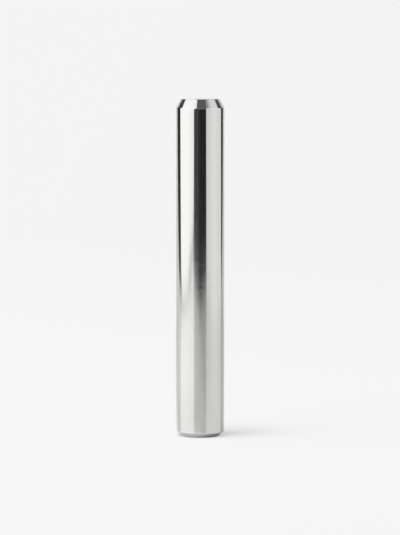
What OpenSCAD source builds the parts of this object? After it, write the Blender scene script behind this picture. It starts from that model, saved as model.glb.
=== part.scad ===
// Dowel pin: a plain round locating pin, turned from bar, hardened, and ground on its shank.
// It is one solid piece. It stands on its foot face, with the origin at that face's centre,
// and +Z runs along the pin's axis to the longer, slimmer chamfer that leads it into a hole.
// All sizes are in millimetres and degrees.

/* [Shank] */
// Diameter of the ground shank
pin_d = 10; // [5:0.5:20]
// Overall length, from the foot face to the lead-in face
pin_len = 70; // [20:1:120]

/* [Lead-in end] */
// Length of the lead-in chamfer along the axis
lead_len = 1.9; // [0.5:0.1:2.3]
// Slope of the lead-in chamfer, from the axis
lead_angle = 29; // [10:1:40]

/* [Foot end] */
// Length of the foot chamfer along the axis
foot_len = 0.95; // [0.5:0.05:1.5]
// Slope of the foot chamfer, from the axis
foot_angle = 49; // [15:1:55]

/* [Edges] */
// Radius of the edges where the chamfers meet the shank
shoulder_r = 0.3; // [0.1:0.05:0.5]
// Radius of the edge round the lead-in face
lead_rim_r = 0.15; // [0.05:0.05:0.3]
// Radius of the edge round the foot face, which is tumbled rounder
foot_rim_r = 0.5; // [0.1:0.05:0.5]

/* [Hidden] */

pin_r = pin_d / 2;
// Each edge's round stands this little proud of its sides, so that it crosses them cleanly
crossing = 0.0002;
facets = 180;
steel = [0.66, 0.66, 0.645];

module edge_round(radius) {
    circle(r = radius + crossing, $fn = facets);
}

// Half profile of one end of the pin, from its face at height 0 up to the middle of the shank.
// The polygon is cut across at the two edges, and a circle fills each of them out again.
module end_profile(chamfer_len, chamfer_angle, rim_r) {
    up_chamfer = [sin(chamfer_angle), cos(chamfer_angle)];
    rim = [pin_r - chamfer_len * tan(chamfer_angle), 0];
    shoulder = [pin_r, chamfer_len];
    // How far each edge's round reaches from the sharp corner along both of its sides
    rim_reach = rim_r * tan((90 - chamfer_angle) / 2);
    shoulder_reach = shoulder_r * tan(chamfer_angle / 2);

    polygon([
        [0, 0],
        rim - [rim_reach, 0],
        rim + rim_reach * up_chamfer,
        shoulder - shoulder_reach * up_chamfer,
        shoulder + [0, shoulder_reach],
        [pin_r, pin_len / 2],
        [0, pin_len / 2]
    ]);
    translate(rim + [-rim_reach, rim_r]) edge_round(rim_r);
    translate(shoulder + [-shoulder_r, shoulder_reach]) edge_round(shoulder_r);
}

module dowel_pin() {
    color(steel)
        rotate_extrude($fn = facets) {
            end_profile(foot_len, foot_angle, foot_rim_r);
            translate([0, pin_len]) mirror([0, 1]) end_profile(lead_len, lead_angle, lead_rim_r);
        }
}

dowel_pin();
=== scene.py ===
"""A ground and polished steel dowel pin, standing on a pale studio floor.

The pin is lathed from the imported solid's own outline, with fine rings and true normals, so that its
mirror finish stays clean. Everything else here is the studio. It has two halves: the floor and the pale
world that the camera sees, and the glowing cards, paper and dim room that only the steel mirrors.
Lengths are in metres.
"""

import math

import bpy
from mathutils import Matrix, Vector


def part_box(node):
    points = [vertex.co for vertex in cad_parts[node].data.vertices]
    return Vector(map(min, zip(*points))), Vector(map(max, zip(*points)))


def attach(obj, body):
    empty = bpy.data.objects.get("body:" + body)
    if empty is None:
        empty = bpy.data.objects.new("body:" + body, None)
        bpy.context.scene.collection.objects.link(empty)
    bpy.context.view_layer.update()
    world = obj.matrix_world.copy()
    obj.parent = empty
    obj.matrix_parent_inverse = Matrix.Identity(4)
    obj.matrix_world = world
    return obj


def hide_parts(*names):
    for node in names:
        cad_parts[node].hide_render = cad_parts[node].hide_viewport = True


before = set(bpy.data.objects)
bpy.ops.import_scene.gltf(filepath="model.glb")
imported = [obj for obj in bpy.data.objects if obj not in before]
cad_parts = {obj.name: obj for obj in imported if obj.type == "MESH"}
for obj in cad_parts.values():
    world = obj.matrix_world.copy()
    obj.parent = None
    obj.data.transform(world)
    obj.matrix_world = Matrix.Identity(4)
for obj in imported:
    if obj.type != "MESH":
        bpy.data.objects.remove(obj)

bpy.context.view_layer.update()

PIN_NODE = "dowel_pin"
PIN_LOW, PIN_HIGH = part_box(PIN_NODE)
PIN_LENGTH = PIN_HIGH.z - PIN_LOW.z


# ---------------------------------------------------------------- node helpers


def new_material(name):
    """An empty node material, with its output node."""
    material = bpy.data.materials.new(name)
    material.use_nodes = True
    material.node_tree.nodes.clear()
    output = material.node_tree.nodes.new("ShaderNodeOutputMaterial")
    return material, output


def add_node(tree, kind, inputs=None, **settings):
    """A shader node. inputs maps a socket's name or number to a value or to another node's output."""
    node = tree.nodes.new("ShaderNode" + kind)
    for key, value in settings.items():
        setattr(node, key, value)
    for key, value in (inputs or {}).items():
        if isinstance(value, bpy.types.NodeSocket):
            tree.links.new(value, node.inputs[key])
        else:
            node.inputs[key].default_value = value
    return node


def maths(tree, operation, first, second=0.0, third=0.0):
    """The result of a Math node."""
    return add_node(tree, "Math", {0: first, 1: second, 2: third}, operation=operation).outputs[0]


def ranged(tree, value, span, levels):
    """The level that goes with value, as it runs over the span. Past the span's ends the level stays."""
    inputs = {0: value, 1: span[0], 2: span[1], 3: levels[0], 4: levels[1]}
    return add_node(tree, "MapRange", inputs).outputs[0]


def ramp(tree, value, stops):
    """The brightness that goes with value from 0 to 1, by (place, brightness) stops."""
    node = add_node(tree, "ValToRGB", {0: value})
    elements = node.color_ramp.elements
    while len(elements) > 1:
        elements.remove(elements[-1])
    for number, (place, level) in enumerate(stops):
        element = elements[0] if number == 0 else elements.new(place)
        element.position = place
        element.color = (level, level, level, 1)
    return node.outputs[0]


# ---------------------------------------------------------------- the pin's mesh

SEGMENTS = 288
RING_STEP = 0.0015
FACE_STEP = 0.0004
# A side of the outline that rises by less than this belongs to an end face
LEVEL_RISE = 1e-7
# The longest side of an edge's round, and how far the edge's wear reaches past the round
ROUND_SIDE = 0.0002
WEAR_REACH = 0.0002
MAP_COLUMNS = 3
MAP_MARGIN = 0.006


def outline_of(node):
    """The CAD node's half outline, as (radius, height) from its lowest ring to its highest."""
    rings = {}
    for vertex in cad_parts[node].data.vertices:
        height = round(vertex.co.z, 7)
        radius = math.hypot(vertex.co.x, vertex.co.y)
        rings[height] = max(radius, rings.get(height, 0))
    return [(rings[height], height) for height in sorted(rings)]


def closed_outline(outline):
    """The outline with a centre point added at each end."""
    return [(0.0, outline[0][1])] + outline + [(0.0, outline[-1][1])]


def side_normals(outline):
    """The outward normal of each outline point: the mean over the sides beside it, by their lengths."""
    sides = []
    for (r0, z0), (r1, z1) in zip(outline, outline[1:]):
        sides.append(Vector((z1 - z0, r0 - r1)))
    normals = []
    for number in range(len(outline)):
        beside = sides[max(number - 1, 0):number + 1]
        normals.append(sum(beside, Vector((0, 0))).normalized())
    return normals


def splits(length, step):
    """Where a straight side is split, as shares of its length: evenly, and where its ends' wear stops."""
    parts = max(1, math.ceil(length / step))
    shares = {part / parts for part in range(1, parts)}
    if length > 2.5 * WEAR_REACH:
        shares |= {WEAR_REACH / length, 1 - WEAR_REACH / length}
    return sorted(shares)


def refined(outline):
    """The outline with its long sides split, as (radius, height, normal, wear) points.

    A point on a straight side takes that side's own normal and no wear. Wear is 1 on the edges' rounds.
    """
    normals = side_normals(outline)
    lengths = [math.hypot(r1 - r0, z1 - z0) for (r0, z0), (r1, z1) in zip(outline, outline[1:])]
    points = [(*outline[0], normals[0], 0.0)]
    for number, length in enumerate(lengths):
        (r0, z0), (r1, z1) = outline[number:number + 2]
        step = FACE_STEP if abs(z1 - z0) < LEVEL_RISE else RING_STEP
        side = Vector((z1 - z0, r0 - r1)).normalized()
        for share in splits(length, step):
            points.append((r0 + (r1 - r0) * share, z0 + (z1 - z0) * share, side, 0.0))
        on_round = min(lengths[number:number + 2]) < ROUND_SIDE
        points.append((r1, z1, normals[number + 1], 1.0 if on_round else 0.0))
    return points


def flat_places(points):
    """Where each side of the outline lies on the pin's flat map, as (left, low, high).

    The skin is unrolled from the middle of the foot face to the middle of the lead face, and cut into
    columns that stand side by side, so that the map is finest along the pin, across its grooves.
    """
    along = [0.0]
    for (r0, z0, _, _), (r1, z1, _, _) in zip(points, points[1:]):
        along.append(along[-1] + math.hypot(r1 - r0, z1 - z0))
    column = along[-1] / MAP_COLUMNS
    owners = [min(int((low + high) / 2 / column), MAP_COLUMNS - 1) for low, high in zip(along, along[1:])]
    places = []
    for number, owner in enumerate(owners):
        first = along[owners.index(owner)]
        last = along[len(owners) - owners[::-1].index(owner)]
        low, high = ((value - first) / (last - first) for value in along[number:number + 2])
        span = 1 - 2 * MAP_MARGIN
        places.append((owner / MAP_COLUMNS + MAP_MARGIN, MAP_MARGIN + low * span, MAP_MARGIN + high * span))
    return places


def lathe(name, outline):
    """A closed mesh turned about Z from the outline, with its normals, its wear and its flat map."""
    points = refined(outline)
    vertices, normals, wear = [], [], []
    for radius, height, direction, worn in points:
        steps = SEGMENTS if radius > 0 else 1
        for step in range(steps):
            angle = 2 * math.pi * step / SEGMENTS
            across, up = math.cos(angle), math.sin(angle)
            vertices.append((radius * across, radius * up, height))
            turned = (direction.x * across, direction.x * up, direction.y)
            normals.append(turned if radius > 0 else (0, 0, math.copysign(1, direction.y)))
            wear.append(worn)

    places = flat_places(points)
    width = 1 / MAP_COLUMNS - 2 * MAP_MARGIN
    top = len(vertices) - 1
    faces, corners = [], []

    def add_face(ring_corners, place):
        """A face from (vertex, step, is_high) corners, with each corner's place on the flat map."""
        left, low, high = place
        faces.append([vertex for vertex, _, _ in ring_corners])
        for _, step, is_high in ring_corners:
            corners.append((left + width * step / SEGMENTS, high if is_high else low))

    for step in range(SEGMENTS):
        after = (step + 1) % SEGMENTS
        add_face([(0, step + 0.5, False), (1 + after, step + 1, True), (1 + step, step, True)], places[0])
        for ring in range(len(points) - 3):
            low, high = 1 + ring * SEGMENTS, 1 + (ring + 1) * SEGMENTS
            around = [(low + step, step, False), (low + after, step + 1, False)]
            around += [(high + after, step + 1, True), (high + step, step, True)]
            add_face(around, places[ring + 1])
        last = top - SEGMENTS
        cap = [(last + step, step, False), (last + after, step + 1, False), (top, step + 0.5, True)]
        add_face(cap, places[-1])

    mesh = bpy.data.meshes.new(name)
    mesh.from_pydata(vertices, [], faces)
    mesh.shade_smooth()
    mesh.normals_split_custom_set_from_vertices(normals)
    flat_map = mesh.uv_layers.new(name="OFBake")
    flat_map.data.foreach_set("uv", [value for corner in corners for value in corner])
    mesh.attributes.new("wear", "FLOAT", "POINT").data.foreach_set("value", wear)
    piece = bpy.data.objects.new(name, mesh)
    bpy.context.scene.collection.objects.link(piece)
    return piece


# ---------------------------------------------------------------- the pin's steel

STEEL = (0.66, 0.66, 0.645, 1)
WORN_STEEL = (0.70, 0.70, 0.685, 1)
# Marks for each metre along the pin, and how quickly each kind changes round it
FINE_GROOVES, FINE_TURNING = 14000.0, 1.6
BROAD_GROOVES, BROAD_TURNING = 1100.0, 1.1
STREAKS, STREAK_TURNING = 35.0, 14.0
CLOUDS = 160.0
# How much of the radius counts as height, which sets the marks on the end faces further apart
FACE_CLIMB = 0.7
# The fine grooves' depth, the broad ones' depth as a multiple of it, and the multiple that end faces add
GROOVE_DEPTH, BROAD_DEPTH, FACE_DEPTH = 0.6e-6, 1.5, 2.0
# Each kind's part in the steel's tone, the span of their sum, and the tones that it gives
BROAD_PART, STREAK_PART, CLOUD_PART = 0.6, 0.4, 0.5
MARKS_SPAN, TONES = (0.45, 1.05), (0.975, 1.025)
# The roughness in the broad grooves, and what the turned faces and the worn edges add to it
BROAD_SPAN, POLISH = (0.3, 0.7), (0.070, 0.092)
FACE_ROUGHNESS, WORN_ROUGHNESS = 0.16, 0.04
# The wear comes in patches, where the clouds are
WEAR_SPAN, WEAR_SHARES = (0.35, 0.65), (0.35, 1.0)
# How upright a normal is where a chamfer ends and where an end face begins
FACE_NORMAL = (0.93, 0.99)
ANISOTROPY, ACROSS_THE_GROOVES = 0.8, 0.25


def ground_steel():
    """Hardened steel, ground round the shank and turned on its ends: fine grooves that run round the pin.

    The grooves follow climb, which rises along the shank and runs out across the end faces, so that the
    marks there are concentric. Round the pin they change slowly, and so they look like long arcs.
    """
    material, output = new_material("ground_steel")
    tree = material.node_tree

    def vectors(operation, inputs, output="Vector"):
        return add_node(tree, "VectorMath", inputs, operation=operation).outputs[output]

    def noise(vector, detail):
        inputs = {"Vector": vector, "Scale": 1.0, "Detail": detail, "Roughness": 0.55}
        return add_node(tree, "TexNoise", inputs).outputs["Fac"]

    place = add_node(tree, "TexCoord").outputs["Object"]
    level = add_node(tree, "SeparateXYZ", {0: place}).outputs["Z"]
    flat = vectors("MULTIPLY", {0: place, 1: (1, 1, 0)})
    around = vectors("NORMALIZE", {0: flat})
    climb = maths(tree, "MULTIPLY_ADD", vectors("LENGTH", {0: flat}, "Value"), FACE_CLIMB, level)

    def grooves(along, turning, detail):
        """Noise that changes quickly along the pin and slowly round it."""
        lift = add_node(tree, "CombineXYZ", {"Z": maths(tree, "MULTIPLY", climb, along)}).outputs[0]
        turn = vectors("SCALE", {0: around, "Scale": turning})
        return noise(vectors("ADD", {0: turn, 1: lift}), detail)

    fine = grooves(FINE_GROOVES, FINE_TURNING, 2.0)
    broad = grooves(BROAD_GROOVES, BROAD_TURNING, 3.0)
    streaks = grooves(STREAKS, STREAK_TURNING, 3.0)
    clouds = noise(vectors("SCALE", {0: place, "Scale": CLOUDS}), 4.0)

    normal = add_node(tree, "NewGeometry").outputs["Normal"]
    upright = maths(tree, "ABSOLUTE", add_node(tree, "SeparateXYZ", {0: normal}).outputs["Z"])
    end_face = ranged(tree, upright, FACE_NORMAL, (0.0, 1.0))
    rubbed = add_node(tree, "Attribute", attribute_name="wear", attribute_type="GEOMETRY").outputs["Fac"]
    wear = maths(tree, "MULTIPLY", rubbed, ranged(tree, clouds, WEAR_SPAN, WEAR_SHARES))

    streaky = maths(tree, "MULTIPLY", streaks, STREAK_PART)
    ringed = maths(tree, "ADD", maths(tree, "MULTIPLY", broad, BROAD_PART), streaky)
    marks = maths(tree, "MULTIPLY_ADD", clouds, CLOUD_PART, ringed)
    shade = ranged(tree, marks, MARKS_SPAN, TONES)
    steel_tone = vectors("SCALE", {0: STEEL[:3], "Scale": shade})
    colour = add_node(tree, "MixRGB", {0: wear, 1: steel_tone, 2: WORN_STEEL}, blend_type="MIX").outputs[0]

    polish = ranged(tree, broad, BROAD_SPAN, POLISH)
    turned = maths(tree, "MULTIPLY_ADD", end_face, FACE_ROUGHNESS, polish)
    roughness = maths(tree, "MULTIPLY_ADD", wear, WORN_ROUGHNESS, turned)

    relief = maths(tree, "MULTIPLY_ADD", broad, BROAD_DEPTH, fine)
    deeper = maths(tree, "MULTIPLY_ADD", end_face, FACE_DEPTH, 1.0)
    bump = add_node(tree, "Bump", {
        "Strength": 1.0,
        "Distance": GROOVE_DEPTH,
        "Height": maths(tree, "MULTIPLY", relief, deeper),
    })
    steel = add_node(tree, "BsdfPrincipled", {
        "Base Color": colour,
        "Metallic": 1.0,
        "Roughness": roughness,
        "Anisotropic": ANISOTROPY,
        "Anisotropic Rotation": ACROSS_THE_GROOVES,
        "Normal": bump.outputs["Normal"],
    })
    ring = add_node(tree, "Tangent", direction_type="RADIAL", axis="Z")
    tree.links.new(ring.outputs["Tangent"], steel.inputs["Tangent"])
    tree.links.new(steel.outputs["BSDF"], output.inputs["Surface"])
    return material


pin = lathe("polished_pin", closed_outline(outline_of(PIN_NODE)))
pin.data.materials.append(ground_steel())
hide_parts(PIN_NODE)
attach(pin, "root")


# ---------------------------------------------------------------- the camera

CAMERA_DISTANCE = 0.750
CAMERA_HEIGHT = 0.103
CAMERA_SIDE = -0.00004
PICTURE_HEIGHT = 0.1108
SENSOR = 36.0

camera_data = bpy.data.cameras.new("camera")
camera = bpy.data.objects.new("camera", camera_data)
bpy.context.scene.collection.objects.link(camera)
bpy.context.scene.camera = camera
middle = Vector((CAMERA_SIDE, 0, PIN_LOW.z + PIN_LENGTH / 2))
camera.location = (CAMERA_SIDE, -CAMERA_DISTANCE, CAMERA_HEIGHT)
sight = middle - camera.location
camera.rotation_mode = "QUATERNION"
camera.rotation_quaternion = sight.to_track_quat("-Z", "Y")
camera_data.sensor_width = SENSOR
camera_data.lens = SENSOR * sight.length / PICTURE_HEIGHT
camera_data.dof.use_dof = False


# ---------------------------------------------------------------- the studio's sheets


def stage_mesh(name, points, faces, places, material):
    """A sheet of the studio from points and faces. places gives each point's UV place, from 0 to 1."""
    mesh = bpy.data.meshes.new(name)
    mesh.from_pydata(points, [], faces)
    layer = mesh.uv_layers.new(name="sheet")
    for loop, uv in zip(mesh.loops, layer.data):
        uv.uv = places[loop.vertex_index]
    mesh.materials.append(material)
    sheet = bpy.data.objects.new(name, mesh)
    bpy.context.scene.collection.objects.link(sheet)
    return sheet


def stage_sheet(name, corners, material):
    """A sheet of one face. U runs from 0 to 1 along its longer level side, and V up from foot to top."""
    lows = [min(values) for values in zip(*corners)]
    spans = [max(values) - low for values, low in zip(zip(*corners), lows)]
    level = 0 if spans[0] > spans[1] else 1
    rise = 2 if spans[2] > 0 else 1 - level
    places = [
        ((corner[level] - lows[level]) / spans[level], (corner[rise] - lows[rise]) / spans[rise])
        for corner in corners
    ]
    return stage_mesh(name, corners, [tuple(range(len(corners)))], places, material)


def seen_only_in_steel(sheet):
    """Leaves a sheet to mirror reflections alone: camera, shadows and the floor's light ignore it."""
    sheet.visible_camera = False
    sheet.visible_diffuse = False
    sheet.visible_shadow = False
    sheet.visible_transmission = False


# ---------------------------------------------------------------- the floor that the camera sees

FLOOR_SIZE = 24.0
FLOOR_WHITE = (0.86, 0.86, 0.86, 1)
# How much of what the camera sees is lit paper. The rest is a glow that only the camera sees, paler near
# the pin and on its left as painted light
FLOOR_LIT = 0.55
FLOOR_REACH, FLOOR_TONES = (0.05, 0.50), (0.985, 0.928)
FLOOR_SIDES, FLOOR_SIDE_TONES = (-0.06, 0.06), (0.012, -0.012)


def pale_floor():
    """White paper with the lamps' soft shadow on it. A part of it glows, which only the camera sees."""
    material, output = new_material("pale_floor")
    tree = material.node_tree
    path = add_node(tree, "LightPath")
    share = maths(tree, "MULTIPLY", path.outputs["Is Camera Ray"], 1 - FLOOR_LIT)
    place = add_node(tree, "TexCoord").outputs["Object"]
    from_pin = add_node(tree, "VectorMath", {0: place}, operation="LENGTH").outputs["Value"]
    x = add_node(tree, "SeparateXYZ", {0: place}).outputs["X"]
    # Painted light: the glow is paler near the pin and on its left
    outward = ranged(tree, from_pin, FLOOR_REACH, FLOOR_TONES)
    aside = ranged(tree, x, FLOOR_SIDES, FLOOR_SIDE_TONES)
    tone = maths(tree, "ADD", outward, aside)
    paper = add_node(tree, "BsdfDiffuse", {"Color": FLOOR_WHITE})
    glow = add_node(tree, "Emission", {"Color": tone, "Strength": 1.0})
    mix = add_node(tree, "MixShader", {0: share, 1: paper.outputs[0], 2: glow.outputs[0]})
    tree.links.new(mix.outputs[0], output.inputs["Surface"])
    return material


def lay_floor(name, size):
    """A wide level floor, which the steel doesn't mirror."""
    half = size / 2
    corners = [(-half, -half, 0), (half, -half, 0), (half, half, 0), (-half, half, 0)]
    floor = stage_sheet(name, corners, pale_floor())
    floor.visible_glossy = False
    floor.visible_shadow = False


lay_floor("floor", FLOOR_SIZE)


# ---------------------------------------------------------------- the paper that the steel mirrors

PAPER_ROUGHNESS, PAPER_IOR = 0.30, 1.5

# A painted glow on the paper, which stands in for light from the left: its level from left to right,
# over PAPER_SPAN on each side. Behind the pin it fades out over FADE_REACH, as painted shade behind
# the pin. The fade starts further back towards the sides, by FADE_SLANT of the way aside
PAPER_SPAN = 0.25
PAPER_GLOW = [
    (0.0, 0.26), (0.3, 0.26), (0.42, 0.20), (0.48, 0.115), (0.512, 0.115), (0.548, 0.02), (0.8, 0.02),
]
FADE_SLANT, FADE_REACH = 0.8, (0.0, 0.06)

# Painted contact shade under the foot's edge: how far out it is dark and then clear, and its tones on the
# left and right
CONTACT_SHADE_DARK, CONTACT_SHADE_CLEAR = 0.0040, 0.00423
CONTACT_SHADE_SIDES, CONTACT_SHADE_TONES = (-0.0035, 0.001), (0.66, 0.09)

# Two rings of painted light round the painted contact shade, near and wide. On the pin's right their glow
# turns into painted shade
NEAR_REACH, NEAR_GLOW, NEAR_SHARES = 0.0046, 0.08, (1.0, -2.2)
WIDE_REACH, WIDE_GLOW, WIDE_SHARES = 0.035, 0.12, (1.0, -0.7)
RING_SIDES = (-0.001, 0.003)

# Glow and shade by bearing round the pin: 0.25 is straight in front, 0.5 right, 0.75 behind and 1 left
REAR_GLOW = [(0.57, 0.0), (0.60, 0.10), (0.66, 0.0), (0.86, 0.0), (0.94, 0.15), (0.99, 0.0)]
REAR_REACH, REAR_SHARES = (0.05, 0.23), (0.5, 1.0)
SIDE_SHADE = [(0.30, 0.0), (0.36, 0.10), (0.43, 0.0), (0.49, 0.0), (0.56, 0.12), (0.68, 0.12), (0.76, 0.0)]
SHADE_REACH, SHADE_SHARES = (0.05, 0.22), (0.2, 1.0)

# The lit middle of the wall behind the pin: its glow by height, and how far aside it reaches, with the
# slant
WALL_RISE, WALL_GLOWS, WALL_SPREAD = (0.07, 0.12), (0.0, 0.45), (0.05, 0.12)

# Painted shade in the paper's colour, darker away from the pin: its tones from the pin to the rear and from
# the front edge to the pin
REAR_SPAN, REAR_TONES = (0.0, 0.25), (0.955, 0.84)
FRONT_SPAN, FRONT_TONES = (-0.25, -0.06), (0.85, 1.0)


def glossy_paper():
    """Smooth white paper as the steel mirrors it, with painted light, and painted shade under the foot's
    edge.
    """
    material, output = new_material("glossy_paper")
    tree = material.node_tree

    def over(value, span, levels):
        return ranged(tree, value, span, levels)

    def times(first, second):
        return maths(tree, "MULTIPLY", first, second)

    def plus(first, second):
        return maths(tree, "ADD", first, second)

    place = add_node(tree, "TexCoord").outputs["Object"]
    parts = add_node(tree, "SeparateXYZ", {0: place})
    x, y, z = (parts.outputs[axis] for axis in "XYZ")
    from_pin = add_node(tree, "VectorMath", {0: place}, operation="LENGTH").outputs["Value"]
    bearing = over(maths(tree, "ARCTAN2", y, x), (-math.pi, math.pi), (0.0, 1.0))
    aside = times(maths(tree, "ABSOLUTE", x), FADE_SLANT)

    # Painted contact shade: the paper darkens under the foot's edge, much more on the pin's right
    darkest = over(x, CONTACT_SHADE_SIDES, CONTACT_SHADE_TONES)
    contact_shade = over(from_pin, (CONTACT_SHADE_DARK, CONTACT_SHADE_CLEAR), (darkest, 1.0))

    # Painted light: a glow for the light from the left, faded out behind the pin as painted shade
    across = ramp(tree, over(x, (-PAPER_SPAN, PAPER_SPAN), (0.0, 1.0)), PAPER_GLOW)
    painted_glow = times(across, over(maths(tree, "SUBTRACT", y, aside), FADE_REACH, (1.0, 0.0)))
    # Painted light round the foot on its left, turning to painted shade on its right
    near = over(from_pin, (CONTACT_SHADE_CLEAR, NEAR_REACH), (NEAR_GLOW, 0.0))
    wide = over(from_pin, (CONTACT_SHADE_CLEAR, WIDE_REACH), (WIDE_GLOW, 0.0))
    near_ring = times(near, over(x, RING_SIDES, NEAR_SHARES))
    wide_ring = times(wide, over(x, RING_SIDES, WIDE_SHARES))
    rear_glow = times(ramp(tree, bearing, REAR_GLOW), over(from_pin, REAR_REACH, REAR_SHARES))
    wall_glow = times(over(z, WALL_RISE, WALL_GLOWS), over(aside, WALL_SPREAD, (1.0, 0.0)))
    glow = plus(plus(painted_glow, plus(near_ring, wide_ring)), plus(rear_glow, wall_glow))

    # Painted shade: the paper's colour darkens at some bearings and away from the pin
    shade = times(ramp(tree, bearing, SIDE_SHADE), over(from_pin, SHADE_REACH, SHADE_SHARES))
    along = times(over(y, REAR_SPAN, REAR_TONES), over(y, FRONT_SPAN, FRONT_TONES))
    tone = times(along, maths(tree, "SUBTRACT", 1.0, shade))

    paper = add_node(tree, "BsdfPrincipled", {
        "Base Color": times(tone, contact_shade),
        "Roughness": PAPER_ROUGHNESS,
        "IOR": PAPER_IOR,
        "Emission Color": (1, 1, 1, 1),
        "Emission Strength": times(glow, contact_shade),
    })
    tree.links.new(paper.outputs[0], output.inputs["Surface"])
    return material


# Rows of the paper's left, middle and right points, from its front edge to just behind the pin
PAPER_EDGES = [
    [(-0.268, -0.360), (0.0, -0.276), (0.1915, -0.325)],
    [(-0.269, 0.01), (0.0, 0.01), (0.236, 0.01)],
    [(-0.306, 0.06), (0.0, 0.06), (0.252, 0.06)],
]
# Behind that, each side of the paper: its x at y 0, how it widens with y up to COVE_STRAIGHT, and how it
# widens with height above COVE_FLARE
COVE_LEFT = (-0.25, -0.33, -0.48)
COVE_RIGHT = (0.262, 0.18, 0.72)
COVE_STRAIGHT, COVE_FLARE = 0.24, 0.05
# The left side draws in over this stretch, by this share of it
TUCK_START, TUCK_END, TUCK_SHARE = 0.285, 0.36, 0.30
COVE_BEND, COVE_RADIUS, COVE_TOP = 0.19, 0.31, 0.80
COVE_STEPS = 24


def cove_section():
    """The cove's section, as (y, z): level up to the bend, round it, and upright to the top."""
    section = []
    for step in range(COVE_STEPS + 1):
        turn = math.pi / 2 * step / COVE_STEPS
        section.append((COVE_BEND + COVE_RADIUS * math.sin(turn), COVE_RADIUS * (1 - math.cos(turn))))
    section.append((COVE_BEND + COVE_RADIUS, COVE_TOP))
    return section


def cove(name, material):
    """A roll of paper that lies on the floor and sweeps up behind the pin, where it widens."""
    rows = [[(x, y, 0.0) for x, y in edge] for edge in PAPER_EDGES]
    for y, z in cove_section():
        back, flare = min(y, COVE_STRAIGHT), max(0.0, z - COVE_FLARE)
        left, right = (side[0] + side[1] * back + side[2] * flare for side in (COVE_LEFT, COVE_RIGHT))
        left += TUCK_SHARE * (min(max(y, TUCK_START), TUCK_END) - TUCK_START)
        rows.append([(left, y, z), (0.0, y, z), (right, y, z)])
    points = [point for row in rows for point in row]
    places = [(column / 2, row / len(rows)) for row in range(len(rows)) for column in range(3)]
    faces = []
    for low in range(0, len(points) - 3, 3):
        faces += [(low, low + 1, low + 4, low + 3), (low + 1, low + 2, low + 5, low + 4)]
    seen_only_in_steel(stage_mesh(name, points, faces, places, material))


cove("paper_cove", glossy_paper())


# ---------------------------------------------------------------- the cards that the steel mirrors

CARD_TOP = 0.80
# The dim strip in front starts below the floor's level, because the steel looks down past the paper's front
# edge to it. The sky stands above it
FRONT_Y, FRONT_HALF = -0.45, 0.22
FRONT_FOOT, FRONT_TOP = -0.03, 0.16
SKY_Y, SKY_HALF = -0.46, 0.24
SKY_FOOT, SKY_TOP, SKY_GLOW = 0.15, 0.40, 0.34
EVEN = ((0.0, 1.0), (1.0, 1.0))


def glowing(name, along, up):
    """A sheet that glows. Its level is along(U) times up(V), each given as (place, level) stops."""
    material, output = new_material(name)
    tree = material.node_tree
    place = add_node(tree, "UVMap", uv_map="sheet")
    parts = add_node(tree, "SeparateXYZ", {0: place.outputs[0]})
    highest = max(level for _, level in along)
    across = ramp(tree, parts.outputs["X"], [(at, level / highest) for at, level in along])
    rising = ramp(tree, parts.outputs["Y"], up)
    both = maths(tree, "MULTIPLY", across, rising)
    light = add_node(tree, "Emission", {"Color": both, "Strength": highest})
    tree.links.new(light.outputs[0], output.inputs["Surface"])
    return material


def softbox(name, corners, along, up=EVEN):
    """A glowing card that only the steel sees. A side card's U runs from its front end to its rear end."""
    seen_only_in_steel(stage_sheet(name, corners, glowing(name, along, up)))


def facing_card(y, half, foot, top):
    """The corners of an upright card that faces the pin from in front. Its U runs from left to right."""
    return [(-half, y, foot), (half, y, foot), (half, y, top), (-half, y, top)]


softbox(
    "left_softbox",
    [
        (-0.27, -0.474, 0.005), (-0.27, -0.21, 0.0045), (-0.27, -0.16, 0.0022), (-0.27, 0.015, 0.0018),
        (-0.269, 0.065, 0.01), (-0.2665, 0.080, 0.035), (-0.264, 0.0905, 0.06),
        (-0.19, 0.084, CARD_TOP), (-0.19, -0.45, CARD_TOP),
    ],
    [(0, 1.18), (0.6, 1.41), (1, 1.40)],
)
softbox(
    "right_softbox",
    [
        (0.1924, -0.337, -0.001), (0.262, 0.143, -0.001), (0.238, -0.055, CARD_TOP),
        (0.19, -0.353, CARD_TOP), (0.19, -0.353, 0.05),
    ],
    [(0, 0.84), (0.3, 0.967), (0.55, 1.075), (0.75, 0.995), (1, 0.96)],
    [(0.0, 1.0), (0.36, 0.97), (0.435, 0.75), (0.51, 0.45), (0.67, 0.15), (1, 0.07)],
)
softbox(
    "dim_front",
    facing_card(FRONT_Y, FRONT_HALF, FRONT_FOOT, FRONT_TOP),
    [(0, 0.07), (0.35, 0.06), (0.45, 0.02), (1, 0.02)],
)
softbox("front_sky", facing_card(SKY_Y, SKY_HALF, SKY_FOOT, SKY_TOP), [(0, SKY_GLOW), (1, SKY_GLOW)])


# ---------------------------------------------------------------- lamps and world


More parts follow.
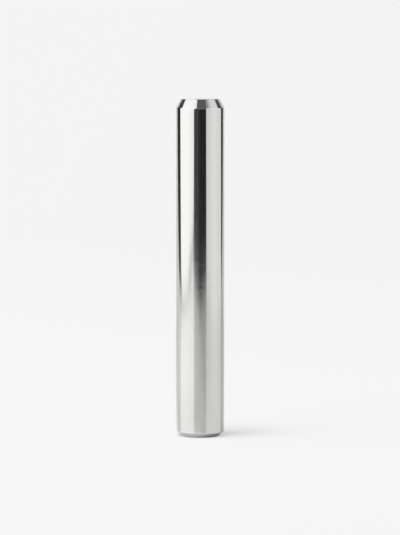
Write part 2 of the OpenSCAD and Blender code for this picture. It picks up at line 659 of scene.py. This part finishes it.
def lamp(name, place, spread, strength):
    """Light on the floor from the way that place lies, spread over so many degrees of the sky.

    Neither the camera nor the steel sees it.
    """
    data = bpy.data.lights.new(name, "SUN")
    data.angle = math.radians(spread)
    data.energy = strength
    made = bpy.data.objects.new(name, data)
    made.rotation_mode = "QUATERNION"
    made.rotation_quaternion = Vector(place).to_track_quat("Z", "Y")
    made.visible_glossy = False
    made.visible_camera = False
    bpy.context.scene.collection.objects.link(made)


lamp("left_lamp", (-3.0, -1.2, 1.8), 70, 0.75)
lamp("high_lamp", (-1.0, -0.8, 8.0), 16, 1.48)

# The world's light on the floor, and the tone that the camera sees
LIGHT_LEVEL = 0.44
BACKGROUND_LEVEL = 0.902
# The dim room in the steel, from straight down at 0 to straight up at 1
ROOM_BY_HEIGHT = [
    (0.0, 0.10), (0.445, 0.06), (0.48, 0.03), (0.55, 0.03), (0.75, 0.09), (0.91, 0.14), (1.0, 0.20),
]


def studio_world():
    """Pale to the camera, soft light for the floor, and a dim room in the steel."""
    world = bpy.data.worlds.new("studio")
    bpy.context.scene.world = world
    world.use_nodes = True
    tree = world.node_tree
    tree.nodes.clear()
    output = tree.nodes.new("ShaderNodeOutputWorld")
    path = add_node(tree, "LightPath")
    place = add_node(tree, "TexCoord")
    parts = add_node(tree, "SeparateXYZ", {0: place.outputs["Generated"]})
    height = ranged(tree, parts.outputs["Z"], (-1.0, 1.0), (0.0, 1.0))
    room = add_node(tree, "Background", {"Color": ramp(tree, height, ROOM_BY_HEIGHT), "Strength": 1.0})
    soft = add_node(tree, "Background", {"Color": (1, 1, 1, 1), "Strength": LIGHT_LEVEL})
    pale = add_node(tree, "Background", {"Color": (1, 1, 1, 1), "Strength": BACKGROUND_LEVEL})
    glossy, camera_ray = path.outputs["Is Glossy Ray"], path.outputs["Is Camera Ray"]
    lit = add_node(tree, "MixShader", {0: glossy, 1: soft.outputs[0], 2: room.outputs[0]})
    seen = add_node(tree, "MixShader", {0: camera_ray, 1: lit.outputs[0], 2: pale.outputs[0]})
    tree.links.new(seen.outputs[0], output.inputs["Surface"])


studio_world()
bpy.context.scene.view_settings.view_transform = "Standard"
